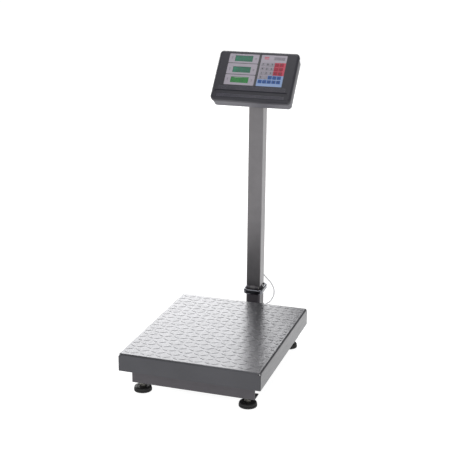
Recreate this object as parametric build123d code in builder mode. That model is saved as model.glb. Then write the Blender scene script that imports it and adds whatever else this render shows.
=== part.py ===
"""Folding-column platform scale: steel base on levelling feet, load cell, lift-off tray, column and head.

+X is to the user's right, +Y points from the user towards the column and +Z is up.
The origin is at the centre of the footprint, on the floor.
"""

import os
from math import cos, pi, radians, sin, tan

from build123d import *

os.makedirs("parts", exist_ok=True)

# ---------------------------------------------------------------- driving sizes, millimetres
platform_height = 122.0  # floor to the top of the tray

tray_width = 400.0
tray_depth = 500.0
tray_skirt = 50.0
tray_sheet = 3.0
tray_bend_radius = 5.0
corner_seam = 1.2
corner_notch = 7.0

column_gap = 96.0  # tray's rear edge to the column's front face
column_size = 45.0
column_wall = 2.0
column_corner = 3.0
column_length = 611.0
head_overhang = 19.0  # column's rear face to the head's rearmost edge

base_width = 350.0
base_height = 40.0
base_flange = 36.0
base_wall = 3.0
base_clearance = 27.5  # floor to the underside of the base
base_front_inset = 34.0
base_rear_inset = 4.0
side_rail_x = 118.0
side_rail_width = 30.0
side_rail_wall = 2.0
beam_depth = 110.0
beam_wall = 4.0

foot_x = 151.0
foot_pad_radius = 25.0
foot_pad_height = 14.0
foot_stud_radius = 5.0
foot_collar_height = 6.0
foot_collar_flats = 17.0
foot_stud_top = 30.0  # stud above the base's underside
foot_travel = 12.0
lock_nut_height = 6.0
weld_nut_height = 8.0

load_cell_length = 150.0
load_cell_width = 40.0
load_cell_height = 36.0
flexure_radius = 10.0
flexure_spread = 32.0
flexure_slot = 12.0
spacer_length = 38.0
spacer_height = 5.0
cell_bolt_radius = 4.0
cell_bolt_head_flats = 13.0
cell_bolt_head_height = 5.3
cell_bolt_depth = 16.0
cell_bolt_pitch = 20.0
cell_bolt_centre = 52.0  # cell's middle to the middle of a bolt pair

top_tube = 20.0
top_tube_wall = 1.5
top_frame_depth = 400.0
top_cross_inner = 35.0  # cross tubes either side of the load cell
top_cross_outer = 170.0
load_plate_height = 5.0
load_plate_length = 160.0
tray_pad_radius = 15.0
tray_pad_height = 2.0
tray_pad_y = 150.0
stop_gap = 1.5
stop_y = 110.0
stop_depth = 8.0

arm_wall = 2.5
stub_top_height = 8.0  # stub's top above the tray
stub_cap = 3.0
joint_gap = 9.0  # stub's top to the column tube's lower end
end_cap_thickness = 3.0
nipple_radius = 6.0
nipple_length = 6.0

hinge_leaf = 3.0
hinge_leaf_width = 34.0
hinge_leaf_drop = 37.0  # leaf's lower end below the tray's top
hinge_width = 38.0
hinge_forward = 4.0  # hinge axis ahead of the column's front face
barrel_radius = 5.0
pin_radius = 3.0
pin_end = 1.0
knuckle_width = 14.0
neck_depth = 32.0
plug_height = 30.0
tongue_width = 28.0
tongue_thickness = 6.0
tongue_drop = 9.5  # tongue below the stub's top

ring_height = 16.0
ring_thickness = 7.0
ring_side_clearance = 1.5
ring_front_clearance = 1.5
ring_rear_clearance = 2.5
ring_front_drop = 2.0  # front bar's centre below the tray's top
ring_slope = 4.0
ring_corner = 10.0

head_width = 246.0
head_above = 67.0  # top edge above the panel's centre, along the face
head_below = 101.0
head_tilt = 38.9  # face leans back from vertical
head_height = 695.0  # panel's centre above the tray
head_setback = 83.0  # panel's centre behind the tray's rear edge
head_top_corner = 11.0
head_bottom_corner = 12.0
head_edge = 9.0
bezel_depth = 16.0
head_wall = 2.5
panel_recess = 1.0
case_inset = 2.0
case_chin_inset = 1.0
case_depth = 45.0
case_taper = 3.0
case_corner = 12.0
chin_groove_top = 70.0
chin_groove_height = 12.0
chin_groove_depth = 1.6
chin_groove_end = 12.0  # from the head's side to the groove

panel_width = 180.0
panel_height = 109.0
panel_centre_up = 1.5
overlay_thickness = 0.8
display_width = 54.0
display_height = 19.0
display_x = -43.0
display_ups = (39.0, 1.0, -34.0)
display_recess = 0.5
key_width = 11.5
key_height = 10.5
key_corner = 1.5
key_pitch_x = 14.0
key_pitch_up = 14.5
key_first_x = 20.0
key_first_up = 22.0
key_count = 5
key_proud = 0.6
key_travel = 0.5
board_inset = 37.0  # from the head's side to the board
board_height = 100.0
board_thickness = 1.6
board_gap = 0.7  # key's underside to the board
battery_width = 97.0
battery_height = 52.0
battery_thickness = 24.0
battery_up = -40.0

boss_inset = 28.0  # from the head's side to a boss
boss_ups = (42.0, -84.0)
boss_radius = 4.5
screw_radius = 1.5
screw_head_radius = 3.5
screw_head_height = 2.2
screw_length = 24.0

pivot_height = 612.0  # tilt pivot above the tray
bracket_plate = 3.0
bracket_height = 56.0
bracket_screw_margin = 4.5  # screw's centre to the ear beside it and to the plate's edge
bracket_screw_up = 20.0
ear_radius = 12.0
ear_clearance = 0.5
ear_root = 40.0
bolt_radius = 4.0
weld_nut_flats = 13.0
pivot_nut_length = 7.0
knob_radius = 17.0
knob_length = 16.0
knob_lobes = 5
knob_scallop = 5.0
knob_standoff = 1.0

rocker_inset = 45.0  # from the head's side to the rocker
rocker_up = 10.0
rocker_width = 12.0
rocker_height = 17.0
rocker_proud = 3.2
rocker_valley = 1.2
rocker_root = 6.0
rocker_lean = 8.0
rocker_well_height = 19.5
rocker_pivot_in = 1.0

grommet_height = 50.0  # cable outlet above the tray
grommet_flange_radius = 8.0
grommet_flange = 2.0
grommet_neck_radius = 6.0
grommet_x = 2.0
cable_radius = 2.5
cable_arc_share = 0.45  # part of the shorter run that a bend's arc takes

running = 0.05  # shaft in a bore
sliding = 0.3  # parts that move past each other

# ---------------------------------------------------------------- places worked out from them
overall_depth = tray_depth + column_gap + column_size + head_overhang
tray_front_y = -overall_depth / 2
tray_rear_y = tray_front_y + tray_depth
tray_mid_y = tray_front_y + tray_depth / 2
column_front_y = tray_rear_y + column_gap
column_rear_y = column_front_y + column_size
column_mid_y = column_front_y + column_size / 2
column_inner = column_size - 2 * column_wall

base_front_y = tray_front_y + base_front_inset
base_rear_y = tray_rear_y - base_rear_inset
base_top = base_clearance + base_height
base_mid_z = base_clearance + base_height / 2

tray_underside = platform_height - tray_sheet
top_frame_top = tray_underside - tray_pad_height
top_frame_bottom = top_frame_top - top_tube
load_plate_bottom = top_frame_bottom - load_plate_height
cell_top = load_plate_bottom - spacer_height
cell_bottom = cell_top - load_cell_height
beam_top = cell_bottom - spacer_height
side_rail_inner = side_rail_x - side_rail_width / 2
side_rail_height = base_height - 2 * base_wall
side_rail_top = base_top - base_wall

stub_top = platform_height + stub_top_height
column_bottom = stub_top + joint_gap
column_top = column_bottom + column_length
arm_top = base_top
hinge_y = column_front_y - hinge_forward
hinge_z = stub_top + joint_gap / 2
pivot_z = platform_height + pivot_height

face_up = (0, sin(radians(head_tilt)), cos(radians(head_tilt)))
face_out = (0, -cos(radians(head_tilt)), sin(radians(head_tilt)))
face_origin = (0, tray_rear_y + head_setback, platform_height + head_height)
face = Plane(origin=face_origin, x_dir=(1, 0, 0), z_dir=face_out)
face_side = Plane(origin=face_origin, x_dir=face_up, z_dir=(1, 0, 0))
face_mid_up = (head_above - head_below) / 2
chin_groove_width = head_width - 2 * chin_groove_end
boss_x = head_width / 2 - boss_inset
rocker_x = rocker_inset - head_width / 2
board_width = head_width - 2 * board_inset
ear_inner = column_size / 2 + ear_clearance
bracket_screw_x = ear_inner + bracket_plate + bracket_screw_margin
bracket_width = 2 * (bracket_screw_x + bracket_screw_margin)
pivot_from_face = Vector(0, column_mid_y, pivot_z) - Vector(face_origin)
pivot_up = pivot_from_face.dot(Vector(face_up))
pivot_out = pivot_from_face.dot(Vector(face_out))

foot_places = {
    "front_left": (-foot_x, base_front_y + base_flange / 2),
    "front_right": (foot_x, base_front_y + base_flange / 2),
    "rear_left": (-foot_x, base_rear_y - base_flange / 2),
    "rear_right": (foot_x, base_rear_y - base_flange / 2),
}
key_places = [
    (row, column, key_first_x + column * key_pitch_x, key_first_up - row * key_pitch_up)
    for row in range(key_count)
    for column in range(key_count)
]


# ---------------------------------------------------------------- base frame
def base_channel(web_y, inward):
    """A folded channel across the base, its web outside and its flanges pointing inward."""
    with BuildPart() as channel:
        with BuildSketch(Plane.YZ.offset(-base_width / 2)):
            with Locations((web_y + inward * base_flange / 2, base_mid_z)):
                Rectangle(base_flange, base_height)
            with Locations((web_y + inward * (base_flange + base_wall) / 2, base_mid_z)):
                Rectangle(base_flange - base_wall, base_height - 2 * base_wall, mode=Mode.SUBTRACT)
        extrude(amount=base_width)
        with BuildSketch(Plane.XY.offset(base_clearance)):
            with Locations((0, web_y + inward * base_flange / 2)):
                with GridLocations(2 * foot_x, 0, 2, 1):
                    Circle(foot_stud_radius + sliding)
        extrude(amount=base_wall, mode=Mode.SUBTRACT)
    return channel


base_front_channel = base_channel(base_front_y, 1)
base_front_channel.part.label = "base_front_channel"
export_step(base_front_channel.part, "parts/base_front_channel.step")

base_rear_channel = base_channel(base_rear_y, -1)
base_rear_channel.part.label = "base_rear_channel"
export_step(base_rear_channel.part, "parts/base_rear_channel.step")

# Two square tubes run front to rear inside the channels, and a beam under the load cell joins them.
rail_front_y = base_front_y + base_wall
rail_length = base_rear_y - base_wall - rail_front_y
with BuildPart() as base_inner_rails:
    with BuildSketch(Plane.XZ.offset(-rail_front_y)):
        with Locations((-side_rail_x, base_mid_z), (side_rail_x, base_mid_z)):
            Rectangle(side_rail_width, side_rail_height)
            Rectangle(
                side_rail_width - 2 * side_rail_wall,
                side_rail_height - 2 * side_rail_wall,
                mode=Mode.SUBTRACT,
            )
    extrude(amount=-rail_length)
    with BuildSketch(Plane.XY.offset(side_rail_top)):
        with Locations((0, tray_mid_y)):
            with GridLocations(2 * side_rail_x, 2 * stop_y, 2, 2):
                Circle(cell_bolt_radius + running)
    extrude(amount=-side_rail_wall, mode=Mode.SUBTRACT)
    beam_bottom = side_rail_top - side_rail_height
    beam_height = beam_top - beam_bottom
    with BuildSketch(Plane.YZ.offset(-side_rail_inner)):
        with Locations((tray_mid_y, beam_bottom + beam_height / 2)):
            Rectangle(beam_depth, beam_height)
        with Locations((tray_mid_y, beam_bottom + (beam_height - beam_wall) / 2)):
            Rectangle(beam_depth - 2 * beam_wall, beam_height - beam_wall, mode=Mode.SUBTRACT)
    extrude(amount=2 * side_rail_inner)
    with BuildSketch(Plane.XY.offset(beam_top)):
        with Locations((-cell_bolt_centre, tray_mid_y)):
            with GridLocations(cell_bolt_pitch, 0, 2, 1):
                Circle(cell_bolt_radius + sliding)
    extrude(amount=-beam_wall, mode=Mode.SUBTRACT)
base_inner_rails.part.label = "base_inner_rails"
export_step(base_inner_rails.part, "parts/base_inner_rails.step")

# ---------------------------------------------------------------- levelling feet
with BuildPart() as foot_nuts:
    for bottom, height in ((base_clearance - lock_nut_height, lock_nut_height),
                           (base_clearance + base_wall, weld_nut_height)):
        with BuildSketch(Plane.XY.offset(bottom)):
            with Locations(*foot_places.values()):
                RegularPolygon(foot_collar_flats / 2, 6, major_radius=False)
                Circle(foot_stud_radius + running, mode=Mode.SUBTRACT)
        extrude(amount=height)
foot_nuts.part.label = "foot_nuts"
export_step(foot_nuts.part, "parts/foot_nuts.step")

for corner, (x, y) in foot_places.items():
    with BuildPart() as foot:
        with BuildSketch(Plane.XY):
            with Locations((x, y)):
                Circle(foot_pad_radius)
        extrude(amount=foot_pad_height)
        fillet(foot.edges().group_by(Axis.Z)[-1], radius=foot_pad_height / 4)
    with BuildPart() as stud:
        with BuildSketch(Plane.XY.offset(foot_pad_height)):
            with Locations((x, y)):
                RegularPolygon(foot_collar_flats / 2, 6, major_radius=False)
        extrude(amount=foot_collar_height)
        with BuildSketch(Plane.XY.offset(foot_pad_height)):
            with Locations((x, y)):
                Circle(foot_stud_radius)
        extrude(amount=base_clearance + foot_stud_top - foot_pad_height)
    foot_pair = Compound(children=[foot.part.solid(), stud.part.solid()])
    foot_pair.label = f"foot_{corner}"
    export_step(foot_pair, f"parts/foot_{corner}.step")

# ---------------------------------------------------------------- load cell and what it carries
with BuildPart() as load_cell:
    with BuildSketch(Plane.XY.offset(cell_bottom)):
        with Locations((0, tray_mid_y)):
            Rectangle(load_cell_length, load_cell_width)
    extrude(amount=load_cell_height)
    with BuildSketch(Plane.XZ.offset(-tray_mid_y)):
        with Locations((0, cell_bottom + load_cell_height / 2)):
            with GridLocations(flexure_spread, 0, 2, 1):
                Circle(flexure_radius)
            Rectangle(flexure_spread, flexure_slot)
    extrude(amount=load_cell_width / 2, both=True, mode=Mode.SUBTRACT)
    for centre_x, mouth_z, into in (
        (-cell_bolt_centre, cell_bottom, cell_bolt_depth),
        (cell_bolt_centre, cell_top, -cell_bolt_depth),
    ):
        with BuildSketch(Plane.XY.offset(mouth_z)):
            with Locations((centre_x, tray_mid_y)):
                with GridLocations(cell_bolt_pitch, 0, 2, 1):
                    Circle(cell_bolt_radius + running)
        extrude(amount=into, mode=Mode.SUBTRACT)
load_cell.part.label = "load_cell"
export_step(load_cell.part, "parts/load_cell.step")

with BuildPart() as load_cell_spacers:
    for centre_x, bottom in ((-cell_bolt_centre, beam_top), (cell_bolt_centre, cell_top)):
        with BuildSketch(Plane.XY.offset(bottom)):
            with Locations((centre_x, tray_mid_y)):
                Rectangle(spacer_length, load_cell_width)
                with GridLocations(cell_bolt_pitch, 0, 2, 1):
                    Circle(cell_bolt_radius + sliding, mode=Mode.SUBTRACT)
        extrude(amount=spacer_height)
load_cell_spacers.part.label = "load_cell_spacers"
export_step(load_cell_spacers.part, "parts/load_cell_spacers.step")

# One pair comes up through the beam into the cell's fixed end, the other down through the load plate.
with BuildPart() as load_cell_bolts:
    for centre_x, seat_z, outward in (
        (-cell_bolt_centre, beam_top - beam_wall, -1),
        (cell_bolt_centre, top_frame_bottom, 1),
    ):
        grip = beam_wall if outward < 0 else load_plate_height
        with BuildSketch(Plane.XY.offset(seat_z)):
            with Locations((centre_x, tray_mid_y)):
                with GridLocations(cell_bolt_pitch, 0, 2, 1):
                    RegularPolygon(cell_bolt_head_flats / 2, 6, major_radius=False)
        extrude(amount=outward * cell_bolt_head_height)
        with BuildSketch(Plane.XY.offset(seat_z)):
            with Locations((centre_x, tray_mid_y)):
                with GridLocations(cell_bolt_pitch, 0, 2, 1):
                    Circle(cell_bolt_radius)
        extrude(amount=-outward * (grip + spacer_height + cell_bolt_depth - 1))
load_cell_bolts.part.label = "load_cell_bolts"
export_step(load_cell_bolts.part, "parts/load_cell_bolts.step")

# The welded frame under the tray: two side tubes, four cross tubes and the plate bolted to the cell.
with BuildPart() as top_frame_rails:
    top_mid_z = top_frame_bottom + top_tube / 2
    with BuildSketch(Plane.XZ.offset(-(tray_mid_y - top_frame_depth / 2))):
        with Locations((-side_rail_x, top_mid_z), (side_rail_x, top_mid_z)):
            Rectangle(top_tube, top_tube)
            Rectangle(top_tube - 2 * top_tube_wall, top_tube - 2 * top_tube_wall, mode=Mode.SUBTRACT)
    extrude(amount=-top_frame_depth)
    with BuildSketch(Plane.YZ.offset(top_tube / 2 - side_rail_x)):
        for y in (-top_cross_outer, -top_cross_inner, top_cross_inner, top_cross_outer):
            with Locations((tray_mid_y + y, top_mid_z)):
                Rectangle(top_tube, top_tube)
                Rectangle(top_tube - 2 * top_tube_wall, top_tube - 2 * top_tube_wall, mode=Mode.SUBTRACT)
    extrude(amount=2 * side_rail_x - top_tube)
    with BuildSketch(Plane.XY.offset(load_plate_bottom)):
        with Locations((0, tray_mid_y)):
            Rectangle(load_plate_length, 2 * top_cross_inner + top_tube)
        with Locations((cell_bolt_centre, tray_mid_y)):
            with GridLocations(cell_bolt_pitch, 0, 2, 1):
                Circle(cell_bolt_radius + sliding, mode=Mode.SUBTRACT)
    extrude(amount=load_plate_height)
top_frame_rails.part.label = "top_frame_rails"
export_step(top_frame_rails.part, "parts/top_frame_rails.step")

# Set screws on the base's side tubes catch the top frame when the platform is overloaded.
with BuildPart() as overload_stops:
    stop_top = top_frame_bottom - stop_gap
    with BuildSketch(Plane.XY.offset(stop_top)):
        with Locations((0, tray_mid_y)):
            with GridLocations(2 * side_rail_x, 2 * stop_y, 2, 2):
                RegularPolygon(cell_bolt_head_flats / 2, 6, major_radius=False)
    extrude(amount=-cell_bolt_head_height)
    with BuildSketch(Plane.XY.offset(stop_top)):
        with Locations((0, tray_mid_y)):
            with GridLocations(2 * side_rail_x, 2 * stop_y, 2, 2):
                Circle(cell_bolt_radius)
    extrude(amount=-(stop_top - side_rail_top + stop_depth))
overload_stops.part.label = "overload_stops"
export_step(overload_stops.part, "parts/overload_stops.step")

with BuildPart() as tray_pads:
    with BuildSketch(Plane.XY.offset(top_frame_top)):
        with Locations((0, tray_mid_y)):
            with GridLocations(2 * side_rail_x, 2 * tray_pad_y, 2, 2):
                Circle(tray_pad_radius)
                Rectangle(2 * tray_pad_radius, top_tube, mode=Mode.INTERSECT)
    extrude(amount=tray_pad_height)
tray_pads.part.label = "tray_pads"
export_step(tray_pads.part, "parts/tray_pads.step")

# ---------------------------------------------------------------- tray
# One sheet with four skirts folded down; the skirts meet at open seams below a relief notch.
with BuildPart() as tray:
    with BuildSketch(Plane.XY.offset(platform_height)):
        with Locations((0, tray_mid_y)):
            Rectangle(tray_width, tray_depth)
    extrude(amount=-tray_skirt)
    fillet(tray.faces().sort_by(Axis.Z)[-1].edges(), radius=tray_bend_radius)
    with BuildPart(mode=Mode.PRIVATE) as hollow:
        with BuildSketch(Plane.XY.offset(tray_underside)):
            with Locations((0, tray_mid_y)):
                Rectangle(tray_width - 2 * tray_sheet, tray_depth - 2 * tray_sheet)
        extrude(amount=tray_sheet - tray_skirt)
        fillet(hollow.faces().sort_by(Axis.Z)[-1].edges(), radius=tray_bend_radius - tray_sheet)
    add(hollow.part, mode=Mode.SUBTRACT)
    with BuildSketch(Plane.XY.offset(platform_height - tray_skirt)):
        for x, y in ((-1, -1), (1, -1), (-1, 1), (1, 1)):
            with Locations(Location((x * tray_width / 2, tray_mid_y + y * tray_depth / 2), 45 * x * y)):
                Rectangle(6 * tray_sheet, corner_seam)
    extrude(amount=tray_skirt - tray_bend_radius, mode=Mode.SUBTRACT)
    with BuildSketch(Plane.XY.offset(platform_height)):
        with Locations((0, tray_mid_y)):
            with GridLocations(tray_width, tray_depth, 2, 2):
                RegularPolygon(corner_notch, 4, rotation=0)
    extrude(amount=-corner_notch, mode=Mode.SUBTRACT)
tray.part.label = "tray"
export_step(tray.part, "parts/tray.step")

# ---------------------------------------------------------------- arm and stub behind the tray
with BuildPart() as outrigger_arm:
    with BuildSketch(Plane.XZ.offset(-base_rear_y)):
        with Locations((0, base_mid_z)):
            RectangleRounded(column_size, base_height, column_corner)
            Rectangle(column_size - 2 * arm_wall, base_height - 2 * arm_wall, mode=Mode.SUBTRACT)
    extrude(amount=base_rear_y - column_rear_y)
outrigger_arm.part.label = "outrigger_arm"
export_step(outrigger_arm.part, "parts/outrigger_arm.step")

# A moulded cap closes the arm; the signal cable enters through its nipple.
with BuildPart() as arm_end_cap:
    with BuildSketch(Plane.XZ.offset(-column_rear_y)):
        with Locations((0, base_mid_z)):
            RectangleRounded(column_size, base_height, column_corner)
    extrude(amount=-end_cap_thickness)
    with BuildSketch(Plane.XZ.offset(-column_rear_y)):
        with Locations((0, base_mid_z)):
            Circle(nipple_radius)
    extrude(amount=-(end_cap_thickness + nipple_length))
    with BuildSketch(Plane.XZ.offset(-column_rear_y)):
        with Locations((0, base_mid_z)):
            Rectangle(column_size - 2 * arm_wall, base_height - 2 * arm_wall)
            Rectangle(column_size - 4 * arm_wall, base_height - 4 * arm_wall, mode=Mode.SUBTRACT)
    extrude(amount=nipple_length)
arm_end_cap.part.label = "arm_end_cap"
export_step(arm_end_cap.part, "parts/arm_end_cap.step")

with BuildPart() as stub_post:
    with BuildSketch(Plane.XY.offset(arm_top)):
        with Locations((0, column_mid_y)):
            RectangleRounded(column_size, column_size, column_corner)
    extrude(amount=stub_top - arm_top)
    with BuildSketch(Plane.XY.offset(arm_top)):
        with Locations((0, column_mid_y)):
            Rectangle(column_size - 2 * arm_wall, column_size - 2 * arm_wall)
    extrude(amount=stub_top - stub_cap - arm_top, mode=Mode.SUBTRACT)
stub_post.part.label = "stub_post"
export_step(stub_post.part, "parts/stub_post.step")

# ---------------------------------------------------------------- fold hinge
# The lower leaf is welded to the stub's front, with a knuckle at each end of the barrel.
with BuildPart() as hinge_lower_leaf:
    leaf_bottom = platform_height - hinge_leaf_drop
    with BuildSketch(Plane.XZ.offset(-column_front_y)):
        with Locations((0, (leaf_bottom + hinge_z) / 2)):
            Rectangle(hinge_leaf_width, hinge_z - leaf_bottom)
    extrude(amount=hinge_leaf)
    with BuildSketch(Plane.YZ.offset(-hinge_width / 2)):
        with Locations((hinge_y, hinge_z)):
            Circle(barrel_radius)
    extrude(amount=hinge_width)
    with BuildSketch(Plane.YZ.offset(-knuckle_width / 2 - sliding)):
        with Locations((hinge_y, hinge_z)):
            Circle(barrel_radius + 2 * sliding)
    extrude(amount=knuckle_width + 2 * sliding, mode=Mode.SUBTRACT)
    with BuildSketch(Plane.YZ.offset(-hinge_width / 2)):
        with Locations((hinge_y, hinge_z)):
            Circle(pin_radius + running)
    extrude(amount=hinge_width, mode=Mode.SUBTRACT)
hinge_lower_leaf.part.label = "hinge_lower_leaf"
export_step(hinge_lower_leaf.part, "parts/hinge_lower_leaf.step")

with BuildPart() as hinge_pin:
    with BuildSketch(Plane.YZ.offset(-hinge_width / 2 - pin_end)):
        with Locations((hinge_y, hinge_z)):
            Circle(pin_radius)
    extrude(amount=hinge_width + 2 * pin_end)
    chamfer(hinge_pin.edges().filter_by(GeomType.CIRCLE), length=pin_radius / 4)
hinge_pin.part.label = "hinge_pin"
export_step(hinge_pin.part, "parts/hinge_pin.step")

# The block plugs the column tube's lower end. Its neck fills the joint and carries the middle knuckle
# at the front and, at the rear, a tongue that hangs behind the stub inside the locking ring.
with BuildPart() as column_hinge_block:
    with BuildSketch(Plane.XY.offset(column_bottom)):
        with Locations((0, column_mid_y)):
            RectangleRounded(column_inner, column_inner, column_corner - column_wall)
    extrude(amount=plug_height)
    neck_bottom = stub_top + sliding
    with BuildSketch(Plane.XY.offset(neck_bottom)):
        with Locations((0, column_mid_y)):
            Rectangle(hinge_width, neck_depth)
    extrude(amount=column_bottom - neck_bottom)
    tongue_rear = column_rear_y + sliding + tongue_thickness
    with BuildSketch(Plane.YZ.offset(-tongue_width / 2)):
        with Locations(((column_mid_y + tongue_rear) / 2, (neck_bottom + column_bottom) / 2)):
            Rectangle(tongue_rear - column_mid_y, column_bottom - neck_bottom)
        with Locations((tongue_rear - tongue_thickness / 2, (stub_top - tongue_drop + column_bottom) / 2)):
            Rectangle(tongue_thickness, column_bottom - stub_top + tongue_drop)
    extrude(amount=tongue_width)
    with BuildSketch(Plane.YZ.offset(-knuckle_width / 2)):
        with Locations((hinge_y, hinge_z)):
            Circle(barrel_radius)
        with Locations(((hinge_y + column_mid_y) / 2, (hinge_z + column_bottom) / 2)):
            Rectangle(column_mid_y - hinge_y, column_bottom - hinge_z)
    extrude(amount=knuckle_width)
    with BuildSketch(Plane.YZ.offset(-knuckle_width / 2)):
        with Locations((hinge_y, hinge_z)):
            Circle(pin_radius + running)
    extrude(amount=knuckle_width, mode=Mode.SUBTRACT)
column_hinge_block.part.label = "column_hinge_block"
export_step(column_hinge_block.part, "parts/column_hinge_block.step")

# A closed ring of flat-oval bar round the stub; its rear bar keeps the tongue from swinging out.
ring_front_y = column_front_y - hinge_leaf - ring_front_clearance - ring_thickness / 2
ring_rear_y = tongue_rear + ring_rear_clearance + ring_thickness / 2
ring_half_x = column_size / 2 + ring_side_clearance + ring_thickness / 2
ring_z = platform_height - ring_front_drop
ring_length = (ring_rear_y - ring_front_y) / cos(radians(ring_slope))
ring_plane = Plane(
    origin=(0, ring_front_y, ring_z),
    x_dir=(1, 0, 0),
    z_dir=(0, -sin(radians(ring_slope)), cos(radians(ring_slope))),
)
with BuildPart() as lock_ring:
    with BuildLine(ring_plane) as ring_path:
        FilletPolyline(
            (ring_half_x, 0),
            (ring_half_x, ring_length),
            (-ring_half_x, ring_length),
            (-ring_half_x, 0),
            radius=ring_corner,
            close=True,
        )
    ring_start = ring_path.wire() @ 0
    ring_heading = ring_path.wire() % 0
    with BuildSketch(Plane(origin=ring_start, x_dir=ring_plane.z_dir, z_dir=ring_heading)):
        SlotOverall(ring_height, ring_thickness)
    sweep(path=ring_path.wire())
lock_ring.part.label = "lock_ring"
export_step(lock_ring.part, "parts/lock_ring.step")

# ---------------------------------------------------------------- column
grommet_z = platform_height + grommet_height
with BuildPart() as column_tube:
    with BuildSketch(Plane.XY.offset(column_bottom)):
        with Locations((0, column_mid_y)):
            RectangleRounded(column_size, column_size, column_corner)
            RectangleRounded(
                column_inner, column_inner, column_corner - column_wall, mode=Mode.SUBTRACT
            )
    extrude(amount=column_length)
    with BuildSketch(Plane.YZ.offset(-column_size / 2)):
        with Locations((column_mid_y, pivot_z)):
            Circle(bolt_radius + running)
    extrude(amount=column_size, mode=Mode.SUBTRACT)
    with BuildSketch(Plane.XZ.offset(-column_rear_y)):
        with Locations((grommet_x, grommet_z)):
            Circle(grommet_neck_radius)
    extrude(amount=column_wall, mode=Mode.SUBTRACT)
column_tube.part.label = "column_tube"
export_step(column_tube.part, "parts/column_tube.step")

with BuildPart() as column_grommet:
    with BuildSketch(Plane.XZ.offset(-column_rear_y)):
        with Locations((grommet_x, grommet_z)):
            Circle(grommet_flange_radius)
    extrude(amount=-grommet_flange)
    fillet(column_grommet.edges().group_by(Axis.Y)[-1], radius=grommet_flange / 2)
    with BuildSketch(Plane.XZ.offset(-column_rear_y)):
        with Locations((grommet_x, grommet_z)):
            Circle(grommet_neck_radius)
    extrude(amount=column_wall)
column_grommet.part.label = "column_grommet"
export_step(column_grommet.part, "parts/column_grommet.step")

# ---------------------------------------------------------------- tilt bracket and its clamp
case_back = -case_depth
plate_back = case_back - bracket_plate
with BuildPart() as head_bracket:
    with BuildSketch(face.offset(plate_back)):
        with Locations((0, pivot_up)):
            RectangleRounded(bracket_width, bracket_height, ear_radius / 2)
            with GridLocations(2 * bracket_screw_x, 2 * bracket_screw_up, 2, 2):
                Circle(screw_radius + sliding, mode=Mode.SUBTRACT)
    extrude(amount=bracket_plate)
    for ear_x in (ear_inner, -ear_inner - bracket_plate):
        with BuildSketch(face_side.offset(ear_x)):
            with BuildLine():
                Polyline(
                    (pivot_up - ear_root / 2, plate_back),
                    (pivot_up + ear_root / 2, plate_back),
                    (pivot_up + ear_radius, pivot_out),
                    (pivot_up - ear_radius, pivot_out),
                    close=True,
                )
            make_face()
            with Locations((pivot_up, pivot_out)):
                Circle(ear_radius)
        extrude(amount=bracket_plate)
    with BuildSketch(face_side.offset(-ear_inner - bracket_plate)):
        with Locations((pivot_up, pivot_out)):
            RegularPolygon(weld_nut_flats / 2, 6, major_radius=False)
    extrude(amount=-pivot_nut_length)
    with BuildSketch(face_side.offset(-ear_inner - bracket_plate - pivot_nut_length)):
        with Locations((pivot_up, pivot_out)):
            Circle(bolt_radius + running)
    extrude(amount=2 * (ear_inner + bracket_plate) + pivot_nut_length, mode=Mode.SUBTRACT)
head_bracket.part.label = "head_bracket"
export_step(head_bracket.part, "parts/head_bracket.step")

knob_x = ear_inner + bracket_plate + knob_standoff
with BuildPart() as tilt_knob:
    with BuildSketch(face_side.offset(knob_x)):
        with Locations((pivot_up, pivot_out)):
            Circle(knob_radius)
            with PolarLocations(knob_radius + knob_scallop / 2, knob_lobes):
                Circle(knob_scallop, mode=Mode.SUBTRACT)
    extrude(amount=knob_length)
    fillet(tilt_knob.faces().sort_by(Axis.X)[-1].edges(), radius=knob_scallop / 3)
    with BuildSketch(face_side.offset(knob_x)):
        with Locations((pivot_up, pivot_out)):
            Circle(bolt_radius)
    extrude(amount=-(knob_x + ear_inner + bracket_plate + pivot_nut_length))
tilt_knob.part.label = "tilt_knob"
export_step(tilt_knob.part, "parts/tilt_knob.step")


# ---------------------------------------------------------------- head shells
def head_outline(plane, inset, bottom_corner, drop=0.0):
    """The head's outline seen square on, brought in by inset, with its lower edge let down by drop."""
    with BuildSketch(plane) as outline:
        with Locations((0, face_mid_up - drop / 2)):
            Rectangle(head_width - 2 * inset, head_above + head_below - 2 * inset + drop)
        fillet(outline.vertices().group_by(Axis.Y)[-1], radius=head_top_corner)
        fillet(outline.vertices().group_by(Axis.Y)[0], radius=bottom_corner)
    return outline.sketch


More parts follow.
